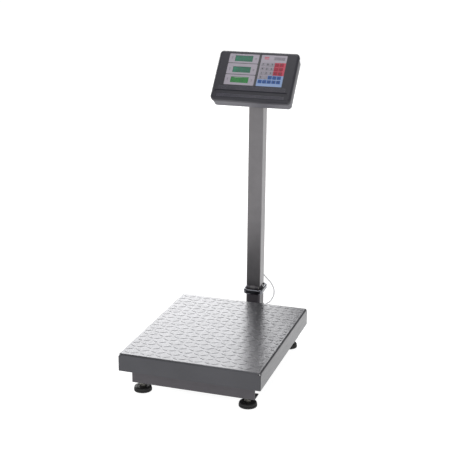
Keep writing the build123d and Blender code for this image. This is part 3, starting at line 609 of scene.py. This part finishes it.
def mesh_of(curve):
    """The corners and faces that a curve or a text gives."""
    holder = bpy.data.objects.new(curve.name, curve)
    bpy.context.scene.collection.objects.link(holder)
    bpy.context.view_layer.update()
    mesh = bpy.data.meshes.new_from_object(holder)
    shape = [v.co.copy() for v in mesh.vertices], [tuple(f.vertices) for f in mesh.polygons]
    bpy.data.objects.remove(holder)
    bpy.data.meshes.remove(mesh)
    return shape


def make_piece(name, shape, finish, body, sharp=35.0):
    """Makes the object of a shape, smooth except at edges sharper than the angle, and mounts it."""
    corners, faces = shape
    mesh = bpy.data.meshes.new(name)
    mesh.from_pydata([tuple(corner) for corner in corners], [], faces)
    work = bmesh.new()
    work.from_mesh(mesh)
    bmesh.ops.recalc_face_normals(work, faces=work.faces[:])
    for face in work.faces:
        face.smooth = True
    for edge in work.edges:
        edge.smooth = not (len(edge.link_faces) == 2 and edge.calc_face_angle(0.0) > radians(sharp))
    work.to_mesh(mesh)
    work.free()
    mesh.materials.append(finish_named(finish))
    piece = bpy.data.objects.new(name, mesh)
    bpy.context.scene.collection.objects.link(piece)
    if body:
        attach(piece, body)
    return piece


def middle(node):
    low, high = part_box(node)
    return (low + high) / 2


def face_matrix():
    """From the face's own axes, across, up and out, to the frame's; its zero is the panel's reference."""
    lean = sizes().head_lean
    across = Vector((1, 0, 0))
    up = Vector((0, sin(lean), cos(lean)))
    out = Vector((0, -cos(lean), sin(lean)))
    # the overlay's middle stands 1.5 mm above the reference and 0.6 mm behind the face
    origin = middle("panel_overlay") - 1.5 * MM * up + 0.6 * MM * out
    return Matrix((
        (across.x, up.x, out.x, origin.x),
        (across.y, up.y, out.y, origin.y),
        (across.z, up.z, out.z, origin.z),
        (0, 0, 0, 1),
    ))


def on_face(x, up, out):
    """A place on the head's face, in metres from its reference."""
    return face_matrix() @ Matrix.Translation((x, up, out))


def behind_case(x, up, out=0.0):
    """A place on the back of the rear case, seen from behind: +Z points away from the head."""
    depth = 45 * MM
    return on_face(x, up, -depth) @ Matrix.Rotation(pi, 4, "Y") @ Matrix.Translation((0, 0, out))


def place_on_face(node):
    """The middle of a CAD part in the face's own axes."""
    return face_matrix().inverted() @ middle(node)


# ------------------------------------------------------------------------------ stage
def soft_lamp(name, place, target, width, height, power):
    lamp = bpy.data.lights.new(name, "AREA")
    lamp.shape = "RECTANGLE"
    lamp.size = width
    lamp.size_y = height
    lamp.energy = power * bpy.context.scene.stage_settings.lamp_power
    holder = bpy.data.objects.new(name, lamp)
    bpy.context.scene.collection.objects.link(holder)
    holder.location = place
    holder.rotation_mode = "QUATERNION"
    holder.rotation_quaternion = (Vector(target) - Vector(place)).to_track_quat("-Z", "Y")
    holder.visible_camera = False


class SCALE_OT_stage(bpy.types.Operator):
    """Sets up the camera, the pale floor and the soft studio lamps"""

    bl_idname = "scale.stage"
    bl_label = "Stage"

    def execute(self, context):
        settings = context.scene.stage_settings
        azimuth, elevation = settings.azimuth, settings.elevation
        back = Vector((sin(azimuth) * cos(elevation), -cos(azimuth) * cos(elevation), sin(elevation)))
        right = Vector((cos(azimuth), sin(azimuth), 0))
        up = back.cross(right)
        turned_right = right * cos(settings.roll) + up * sin(settings.roll)
        turned_up = up * cos(settings.roll) - right * sin(settings.roll)
        lens = bpy.data.cameras.new("camera")
        lens.lens = settings.lens
        lens.sensor_width = 36.0
        lens.clip_end = 200.0
        camera = bpy.data.objects.new("camera", lens)
        context.scene.collection.objects.link(camera)
        axes = Matrix((turned_right, turned_up, back)).transposed()
        camera.matrix_world = Matrix.Translation(settings.place) @ axes.to_4x4()
        context.scene.camera = camera
        context.scene.view_settings.view_transform = "Standard"

        half = settings.floor_size / 2
        mesh = bpy.data.meshes.new("floor")
        mesh.from_pydata([(-half, -half, 0), (half, -half, 0), (half, half, 0), (-half, half, 0)], [],
                         [(0, 1, 2, 3)])
        floor = bpy.data.objects.new("floor", mesh)
        context.scene.collection.objects.link(floor)
        mesh.materials.append(finish_named("paper"))

        world = bpy.data.worlds.new("studio")
        world.use_nodes = True
        backdrop = world.node_tree.nodes["Background"]
        backdrop.inputs["Color"].default_value = (1, 1, 1, 1)
        backdrop.inputs["Strength"].default_value = 0.35
        context.scene.world = world

        soft_lamp("overhead_lamp", (0.0, 0.55, 3.0), (0, 0.0, 0.1), 2.2, 2.0, 36)
        soft_lamp("back_lamp", (-3.1, 3.9, 2.2), (0, 0, 0.2), 4.8, 2.6, 200)
        soft_lamp("right_lamp", (2.4, -0.2, 1.7), (0, 0.2, 0.7), 0.9, 1.6, 6)
        soft_lamp("front_lamp", (-0.5, -1.4, 2.3), (0, 0.2, 0.75), 0.8, 0.8, 2)
        soft_lamp("fill_lamp", (0.6, -4.6, 2.5), (0, 0, 0.3), 5.0, 2.2, 65)
        return {"FINISHED"}


# ------------------------------------------------------------------------------ cable
# The same route as the cable's CAD tube: out of the column's grommet, behind the joint, into the arm.
CABLE_ROUTE = [
    (0.002, 0.313, 0.172),
    (0.002, 0.334, 0.172),
    (0.013, 0.350, 0.146),
    (0.037, 0.359, 0.118),
    (0.046, 0.360, 0.089),
    (0.036, 0.358, 0.060),
    (0.016, 0.352, 0.046),
    (0.000, 0.340, 0.0475),
    (0.000, 0.320, 0.0475),
]


def route_points(route):
    """Points of the smooth line that the route's points control."""
    curve = bpy.data.curves.new("cable_route", "CURVE")
    curve.dimensions = "3D"
    curve.resolution_u = 16
    spline = curve.splines.new("NURBS")
    spline.points.add(len(route) - 1)
    for point, place in zip(spline.points, route):
        point.co = (*place, 1.0)
    spline.order_u = 3
    spline.use_endpoint_u = True
    points, _ = mesh_of(curve)
    return points


class SCALE_OT_cable(bpy.types.Operator):
    """Runs the signal cable from the column's grommet to the arm's end cap"""

    bl_idname = "scale.cable"
    bl_label = "Signal cable"

    def execute(self, context):
        points = route_points(CABLE_ROUTE)
        radius = sizes().cable_diameter / 2
        tube = make_piece("cable", swept(points, lambda index: radius, 20), "cable", None, 60)
        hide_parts("signal_cable")
        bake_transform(tube)
        return {"FINISHED"}


# ------------------------------------------------------------------------------ tray
def tread(steps):
    """One raised tread along X: lens-shaped in plan and rounded across, tapering to blunt points."""
    length, width, rise = sizes().tread_length, sizes().tread_width, sizes().tread_rise
    across = 6
    sunk = 0.2 * MM
    rings = []
    for step in range(-steps, steps + 1):
        along = sin(step / steps * pi / 2) * 0.995
        half_width = width / 2 * (1 - along**2)
        height = rise * (1 - along**4) ** 0.8
        ring = [(along * length / 2, -half_width, -sunk)]
        for point in range(across + 1):
            angle = pi * point / across
            ring.append((along * length / 2, -half_width * cos(angle), height * sin(angle) ** 0.7))
        ring.append((along * length / 2, half_width, -sunk))
        rings.append(ring)
    return stacked(rings)


class SCALE_OT_tray(bpy.types.Operator):
    """Raises the treads on the tray"""

    bl_idname = "scale.tray"
    bl_label = "Treads"

    def execute(self, context):
        low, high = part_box("tray")
        lean = sizes().tread_lean
        reach = sizes().tread_margin + sizes().tread_length * cos(lean) / 2
        pitch = sizes().tread_pitch
        columns = int((high.x - low.x - 2 * reach) / pitch)
        rows = int((high.y - low.y - 2 * reach) / pitch)
        centre = middle("tray")
        one = tread(sizes().tread_steps)
        treads = []
        for row in range(rows + 1):
            for column in range(columns + 1):
                turn = lean if (row + column) % 2 else -lean
                spot = (centre.x + (column - columns / 2) * pitch,
                        centre.y + (row - rows / 2) * pitch, high.z)
                treads.append(placed(one, Matrix.Translation(spot) @ Matrix.Rotation(turn, 4, "Z")))
        make_piece("tray_treads", joined(treads), "tray", "tray")
        return {"FINISHED"}


# ------------------------------------------------------------------------------ base
class SCALE_OT_base(bpy.types.Operator):
    """Lays the weld beads of the base"""

    bl_idname = "scale.base"
    bl_label = "Welds"

    def execute(self, context):
        arm_low, arm_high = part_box("outrigger_arm")
        stub_low, stub_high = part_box("stub_post")
        leaf_low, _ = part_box("hinge_lower_leaf")
        rail_low, rail_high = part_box("base_inner_rails")
        leaf_x = 17 * MM
        leaf_end = stub_high.z - 16 * MM
        corner = 3 * MM  # a bead stops short of a rounded corner by this
        upright = [
            (x, arm_low.y, arm_low.z + corner, arm_high.z - corner) for x in (arm_low.x, arm_high.x)
        ]
        upright += [(x, stub_low.y, leaf_low.z, leaf_end) for x in (-leaf_x, leaf_x)]
        upright += [
            (x, inside, rail_low.z + corner, rail_high.z - corner)
            for inside in (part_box("base_front_channel")[1].y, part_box("base_rear_channel")[0].y)
            for x in (rail_low.x, rail_high.x)
        ]
        beads = [weld_bead((x, y, bottom), (x, y, top)) for x, y, bottom, top in upright]
        for low, high, z in ((arm_low, arm_high, arm_high.z), (stub_low, stub_high, stub_low.z)):
            beads.append(weld_bead((low.x + corner, low.y, z), (high.x - corner, low.y, z)))
        make_piece("frame_welds", joined(beads), "weld", "root", 60)
        return {"FINISHED"}


# ------------------------------------------------------------------------------ feet
FOOT_CORNERS = ("front_left", "front_right", "rear_left", "rear_right")


def hexagon_radius(angle, flats):
    """Distance from a hexagon's centre to its edge in that direction."""
    sector = (angle + pi / 6) % (pi / 3) - pi / 6
    return flats / 2 / cos(sector)


def hex_nut(flats, height, bore):
    """A nut with its corners turned off top and bottom, and a countersunk bore."""
    steps = 72
    sink = 0.6 * MM
    face = flats / 2 * 0.97
    hexagon = [hexagon_radius(2 * pi * step / steps, flats) for step in range(steps)]
    drops = [(radius - face) * tan(radians(30)) for radius in hexagon]
    sections = [
        [(face, 0.0)] * steps,
        list(zip(hexagon, drops)),
        [(radius, height - drop) for radius, drop in zip(hexagon, drops)],
        [(face, height)] * steps,
        [(bore + sink, height)] * steps,
        [(bore, height - sink)] * steps,
        [(bore, sink)] * steps,
        [(bore + sink, 0.0)] * steps,
    ]
    return stacked([[around(radius, step / steps, z) for step, (radius, z) in enumerate(section)]
                    for section in sections], closed=True)


def threaded_rod(radius, bottom, top, pitch):
    """A rod with a rolled thread: the surface follows a helix and fades in at the ends."""
    steps = 24
    per_turn = 6
    depth = 0.55 * pitch
    rings = []
    levels = ceil((top - bottom) / pitch * per_turn)
    for level in range(levels + 1):
        z = bottom + (top - bottom) * level / levels
        fade = min(1.0, (z - bottom) / pitch, (top - z) / pitch)
        ring = []
        for step in range(steps):
            phase = (z / pitch - step / steps) % 1.0
            r = radius - depth * fade * abs(2 * phase - 1) - (depth / 2 if level in (0, levels) else 0)
            ring.append(around(r, step / steps, z))
        rings.append(ring)
    return stacked(rings)


class SCALE_OT_feet(bpy.types.Operator):
    """Moulds the four levelling feet, their threaded studs and their nuts"""

    bl_idname = "scale.feet"
    bl_label = "Levelling feet"

    def execute(self, context):
        pad_profile = [
            (19.0, 0.0), (23.4, 0.0), (24.6, 0.6), (25.0, 1.6), (25.0, 5.2), (24.7, 5.8), (23.4, 6.1),
            (23.2, 6.5), (23.4, 6.9), (24.2, 7.2), (24.4, 7.8), (24.0, 10.0), (22.8, 12.0), (20.5, 13.3),
            (17.5, 13.9), (13.0, 14.0), (12.2, 13.6), (11.4, 14.0), (6.0, 14.0),
        ]
        collar_bottom, collar_height, flats = 14 * MM, 6 * MM, 17 * MM
        for corner in FOOT_CORNERS:
            node = f"foot_{corner}"
            low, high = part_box(node)
            spot = Matrix.Translation((middle(node).x, middle(node).y, 0))
            pad = turned([(radius * MM, height * MM) for radius, height in pad_profile], 64)
            pad_piece = make_piece(f"foot_pad_{corner}", placed(pad, spot), "rubber", node)
            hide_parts(node)
            collar = placed(hex_nut(flats, collar_height, 3 * MM), Matrix.Translation((0, 0, collar_bottom)))
            rod = threaded_rod(5 * MM, collar_bottom + collar_height / 2, high.z, sizes().thread_pitch)
            stud = placed(joined([collar, rod]), spot)
            make_piece(f"foot_stud_{corner}", stud, "zinc", node)

        low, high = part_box("foot_nuts")
        lock_height, weld_height = 6 * MM, 8 * MM
        nuts = []
        for corner in FOOT_CORNERS:
            centre = middle(f"foot_{corner}")
            for bottom, height in ((low.z, lock_height), (high.z - weld_height, weld_height)):
                nut = hex_nut(flats, height, 5.05 * MM)
                nuts.append(placed(nut, Matrix.Translation((centre.x, centre.y, bottom))))
        nut_piece = make_piece("stud_nuts", joined(nuts), "zinc", "root")
        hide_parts("foot_nuts")
        return {"FINISHED"}


# ------------------------------------------------------------------------------ column
class SCALE_OT_column(bpy.types.Operator):
    """Closes the column's upper end"""

    bl_idname = "scale.column"
    bl_label = "Column cap"

    def execute(self, context):
        low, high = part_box("column_tube")
        side = high.x - low.x
        cap = plate(side, side, 3 * MM, 3 * MM, 1.2 * MM)
        make_piece("column_top_cap", placed(cap, Matrix.Translation((0, (low.y + high.y) / 2, high.z))),
                   "black", "column")
        return {"FINISHED"}


# ------------------------------------------------------------------------------ head
def chin_rib(length):
    """A long low rib along X with rounded back and tapered ends."""
    rise = sizes().rib_rise
    half_width = 0.8 * MM
    rings = []
    half = ((0.486, 1.0), (0.494, 0.6), (0.5, 0.05))  # share of the length, share of the rise
    for along, share in [(-along, share) for along, share in reversed(half)] + list(half):
        ring = [(along * length, -half_width, -0.2 * MM)]
        for step in range(7):
            angle = pi * step / 6
            ring.append((along * length, -half_width * cos(angle), share * rise * sin(angle)))
        ring.append((along * length, half_width, -0.2 * MM))
        rings.append(ring)
    return stacked(rings)


def cross_head(radius, height):
    """A pan head with a cross recess."""
    steps = 48
    arm, reach = radius * 0.17, radius * 0.62
    sunk = height * 0.55
    rings = [[around(radius, step / steps, 0.0) for step in range(steps)]]
    for share in (1.0, 0.97, 0.88, 0.74, 0.64, 0.6, 0.5, 0.38, 0.28, 0.2, 0.12, 0.04):
        ring = []
        for step in range(steps):
            x, y, z = around(share * radius, step / steps, height * sqrt(max(0.0, 1 - 0.85 * share**4)))
            if share * radius < reach and min(abs(x), abs(y)) < arm:
                z -= sunk
            ring.append((x, y, z))
        rings.append(ring)
    return stacked(rings)


class SCALE_OT_head(bpy.types.Operator):
    """Adds the ribs, screws, louvres, battery door and label of the head"""

    bl_idname = "scale.head"
    bl_label = "Head shells"

    def execute(self, context):
        pitch = sizes().rib_pitch
        rib = chin_rib(206 * MM)
        groups = ((-57 * MM, 4), (-84.5 * MM, 3))  # where each group of ribs starts, and how many it has
        ups = [first - pitch * number for first, count in groups for number in range(count)]
        # the ribs' paler plastic is a painted sheen, not a different plastic
        make_piece("chin_ribs", joined(placed(rib, on_face(0, up, 0)) for up in ups), "rib", "head")

        screw_head = cross_head(3.5 * MM, 2.2 * MM)
        bracket_up, bracket_plate = place_on_face("tilt_knob").y, 3 * MM
        heads = [placed(screw_head, behind_case(x * MM, up * MM)) for x in (-95, 95) for up in (42, -84)]
        heads += [placed(screw_head, behind_case(x * MM, bracket_up + up * MM, bracket_plate))
                  for x in (-30.5, 30.5) for up in (-20, 20)]
        screws = make_piece("case_screws", joined(heads), "zinc", "head")
        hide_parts("head_screws")

        louvre = plate(34 * MM, 2.2 * MM, 1 * MM, 1.1 * MM, 0.8 * MM)
        louvres = [placed(louvre, behind_case(70 * MM, (32 - 6 * number) * MM)) for number in range(6)]
        make_piece("case_louvres", joined(louvres), "case", "head")

        door = plate(62 * MM, 19 * MM, 4 * MM, 1.4 * MM, 0.8 * MM)
        grip = plate(1.6 * MM, 9 * MM, 0.7 * MM, 1.0 * MM, 0.6 * MM)
        door_up = -82 * MM
        door_parts = [placed(door, behind_case(0, door_up))]
        door_parts += [placed(grip, behind_case((number - 2) * 4 * MM, door_up + 2 * MM, 1.4 * MM))
                       for number in range(5)]
        make_piece("battery_door", joined(door_parts), "case", "head")

        label = plate(46 * MM, 26 * MM, 2 * MM, 0.3 * MM, 0.15 * MM)
        make_piece("blank_rating_label", placed(label, behind_case(68 * MM, -48 * MM)), "label", "head")
        return {"FINISHED"}


# ------------------------------------------------------------------------------ panel
DISPLAY_X = -43 * MM
DISPLAY_UPS = (39 * MM, 1 * MM, -34 * MM)


def field(x_low, x_high, up_low, up_high, radius, holes=()):
    """A printed field between four lines on the panel, with openings given as (x, up, width, height)."""
    middle_x, middle_up = (x_low + x_high) / 2, (up_low + up_high) / 2
    outline = [(x + middle_x, y + middle_up)
               for x, y in rounded_rectangle(x_high - x_low, up_high - up_low, radius)]
    loops = [
        [(x + hole_x, y + hole_up) for x, y in rounded_rectangle(width, height, 0.6 * MM, 2)]
        for hole_x, hole_up, width, height in holes
    ]
    return sheet_with_holes(outline, loops, 0.03 * MM)


SEGMENTS = {"0": "abcdef"}


def segment_bar(start, end, thickness):
    """One bar of a digit, pointed at both ends, lying on z = 0."""
    start, end = Vector((*start, 0)), Vector((*end, 0))
    along = (end - start).normalized()
    side = Vector((-along.y, along.x, 0)) * thickness / 2
    tip = along * thickness / 2
    outline = [start, start + tip - side, end - tip - side, end, end - tip + side, start + tip + side]
    lift = Vector((0, 0, 0.03 * MM))
    return stacked([outline, [corner + lift for corner in outline]])


def digit(figure, height):
    """A seven-segment figure centred on zero."""
    half, wide = height / 2, height * 0.26
    gap = height * 0.03
    corners = {
        "a": ((-wide + gap, half), (wide - gap, half)), "g": ((-wide + gap, 0), (wide - gap, 0)),
        "d": ((-wide + gap, -half), (wide - gap, -half)),
        "f": ((-wide, gap), (-wide, half - gap)), "b": ((wide, gap), (wide, half - gap)),
        "e": ((-wide, gap - half), (-wide, -gap)), "c": ((wide, gap - half), (wide, -gap)),
    }
    return joined(segment_bar(*corners[name], height * 0.12) for name in SEGMENTS[figure])


def legend_shape(text, height):
    """Figures or a sign as a thin flat shape, centred on zero."""
    writing = bpy.data.curves.new("legend", "FONT")
    writing.body = text
    writing.size = height
    writing.align_x = "CENTER"
    writing.align_y = "CENTER"
    writing.extrude = 0.02 * MM
    writing.offset = 0.25 * MM
    writing.resolution_u = 3
    return mesh_of(writing)


class SCALE_OT_panel(bpy.types.Operator):
    """Prints the overlay, lights the displays and caps the keys"""

    bl_idname = "scale.panel"
    bl_label = "Panel, displays and keys"

    def execute(self, context):
        self.print_fields()
        self.light_displays()
        self.cap_keys()
        return {"FINISHED"}

    def print_fields(self):
        lift = -0.2 * MM + sizes().ink_lift
        windows = [(DISPLAY_X, up, 55 * MM, 20 * MM) for up in DISPLAY_UPS]
        limits = ((23.5, 54.5), (-15.0, 21.5), (-51.5, -17.0))
        light = [
            field(-88.5 * MM, 3 * MM, low * MM, high * MM, 2.5 * MM, [window])
            for (low, high), window in zip(limits, windows)
        ]
        spots = [place_on_face(f"key_{row}_{column}") for row in range(1, 6) for column in range(1, 6)]
        openings = [(spot.x, spot.y, 12.1 * MM, 11.1 * MM) for spot in spots]
        # the lines between the coloured fields, and the gaps that keep neighbours apart
        left, right, top, bottom = 10.5 * MM, 88.5 * MM, 54.5 * MM, -51.5 * MM
        keys_top, step_top, step_bottom = 29.6 * MM, -14.2 * MM, -28 * MM
        red_left, blue_left = 55 * MM, 41.2 * MM
        row_gap, column_gap = 0.1 * MM, 0.2 * MM
        round_small = 0.8 * MM
        upper = [hole for hole in openings if hole[1] > step_top]
        lower = [hole for hole in openings if hole[1] < step_bottom]
        step = [hole for hole in openings if step_bottom < hole[1] < step_top]
        grey_keys = [hole for hole in upper if hole[0] < red_left]
        red_keys = [hole for hole in upper if hole[0] > red_left]
        light.append(field(left, right, keys_top + row_gap, top, 2 * MM))
        light.append(field(left, red_left - column_gap, step_top, keys_top, round_small, grey_keys))
        step_high = step_top - row_gap
        light.append(field(left, blue_left - column_gap, step_bottom, step_high, round_small, step[:2]))
        self.print_ink("panel_light_fields", light, "light_ink", lift)
        blue = [
            field(blue_left, right, step_bottom, step_high, round_small, step[2:]),
            field(left, right, bottom, step_bottom - row_gap, 1.5 * MM, lower),
        ]
        self.print_ink("panel_blue_field", blue, "blue_ink", lift)

        thin, above = 0.03 * MM, lift + 0.04 * MM

        def bar(x, up, width, height, radius):
            return placed(plate(width, height, radius, thin, thin / 3), on_face(x, up, above))

        marks = []
        for up in DISPLAY_UPS:
            for number in range(3):
                wide = (6 - 1.5 * number) * MM
                marks.append(bar(-80 * MM, up + (4 - 3.4 * number) * MM, wide, 1 * MM, 0.4 * MM))
            for number in range(2):
                marks.append(bar(-6 * MM, up + (2 - 4 * number) * MM, 5 * MM, 1.2 * MM, 0.5 * MM))
        for number in range(3):
            marks.append(bar(66 * MM, (47 - 3.6 * number) * MM, 34 * MM, 1.6 * MM, 0.6 * MM))
        make_piece("panel_marks", joined(marks), "legend_ink", "head")
        red = field(red_left, right, step_top, keys_top, round_small, red_keys)
        self.print_ink("panel_red_field", [red], "red_ink", lift)
        accent = [bar(27 * MM, up * MM, 15 * MM, 3 * MM, 1.2 * MM) for up in (47, 41.5)]
        make_piece("panel_accent", joined(accent), "red_ink", "head")

    def print_ink(self, name, shapes, ink, lift):
        """Lays the shapes on the overlay as one printed film."""
        make_piece(name, joined(placed(shape, on_face(0, 0, lift)) for shape in shapes), ink, "head")

    def light_displays(self):
        surface = -0.7 * MM
        ground = plate(53.6 * MM, 18.6 * MM, 0.6 * MM, 0.05 * MM, 0.02 * MM)
        make_piece("lower_display_face", placed(ground, on_face(DISPLAY_X, DISPLAY_UPS[2], surface)),
                   "display_low", "head")
        height = sizes().digit_height
        shapes = []
        for up, figures, point in zip(DISPLAY_UPS, ("0000", "0000", "00000"), (1, 2, 3)):
            out = surface + (0.08 if up < 0 else 0.03) * MM
            spacing = height * 0.78
            start = 22 * MM - spacing * (len(figures) - 1) - height * 0.1
            for number, figure in enumerate(figures):
                x = DISPLAY_X + start + number * spacing
                shapes.append(placed(digit(figure, height), on_face(x, up, out)))
                if number + 1 == point:
                    dot = plate(1.6 * MM, 1.6 * MM, 0.6 * MM, 0.03 * MM, 0.01 * MM)
                    shapes.append(placed(dot, on_face(x + spacing / 2, up - height / 2, out)))
        make_piece("display_digits", joined(shapes), "segment", "head")

    def cap_keys(self):
        signs = (("7", "8", "9", "+", "T"), ("4", "5", "6", "-", "C"), ("1", "2", "3", "x", "%"),
                 ("0", ".", "=", "<", ">"), ("1", "2", "3", "4", "5"))
        for row in range(1, 6):
            for column in range(1, 6):
                blue = row == 5 or (row == 4 and column > 2)
                red = row < 4 and column > 3
                name = "key_blue" if blue else "key_red" if red else "key_grey"
                node = f"key_{row}_{column}"
                paint(node, name)
                spot = place_on_face(node)
                mark = legend_shape(signs[row - 1][column - 1], 9 * MM)
                make_piece(f"legend_{row}_{column}", placed(mark, on_face(spot.x, spot.y, 0.62 * MM)),
                           "legend_ink", node)


# ------------------------------------------------------------------------------ switch
class SCALE_OT_switch(bpy.types.Operator):
    """Frames the power switch"""

    bl_idname = "scale.switch"
    bl_label = "Power switch"

    def execute(self, context):
        rise = 1.2 * MM
        outline = rounded_rectangle(17 * MM, 24 * MM, 2 * MM)
        opening = rounded_rectangle(13 * MM, 20 * MM, 0.8 * MM)
        rim = sheet_with_holes(outline, [opening], rise)
        spot = behind_case(place_on_face("power_rocker").x, 10 * MM, rise)
        make_piece("switch_rim", placed(rim, spot), "black", "head")
        return {"FINISHED"}


class SCALE_PT_panel(bpy.types.Panel):
    """Lists the scale's builders and their sizes"""

    bl_label = "Platform scale"
    bl_idname = "SCALE_PT_panel"
    bl_space_type = "VIEW_3D"
    bl_region_type = "UI"
    bl_category = "Platform scale"

    def draw(self, context):
        for operator in OPERATORS:
            self.layout.operator(operator.bl_idname)
        for group in (context.scene.scale_sizes, context.scene.scale_colours, context.scene.stage_settings):
            column = self.layout.column(align=True)
            for name in group.__annotations__:
                column.prop(group, name)


OPERATORS = (
    SCALE_OT_stage, SCALE_OT_paint, SCALE_OT_cable, SCALE_OT_tray, SCALE_OT_base, SCALE_OT_feet,
    SCALE_OT_column, SCALE_OT_head, SCALE_OT_panel, SCALE_OT_switch,
)
CLASSES = (ScaleSizes, ScaleColours, StageSettings, *OPERATORS, SCALE_PT_panel)


def register():
    for each in CLASSES:
        bpy.utils.register_class(each)
    bpy.types.Scene.scale_sizes = PointerProperty(type=ScaleSizes)
    bpy.types.Scene.scale_colours = PointerProperty(type=ScaleColours)
    bpy.types.Scene.stage_settings = PointerProperty(type=StageSettings)


def unregister():
    del bpy.types.Scene.stage_settings
    del bpy.types.Scene.scale_colours
    del bpy.types.Scene.scale_sizes
    for each in reversed(CLASSES):
        bpy.utils.unregister_class(each)


def main():
    register()
    for operator in OPERATORS:
        getattr(bpy.ops.scale, operator.bl_idname.split(".")[1])()


if __name__ == "__main__":
    main()
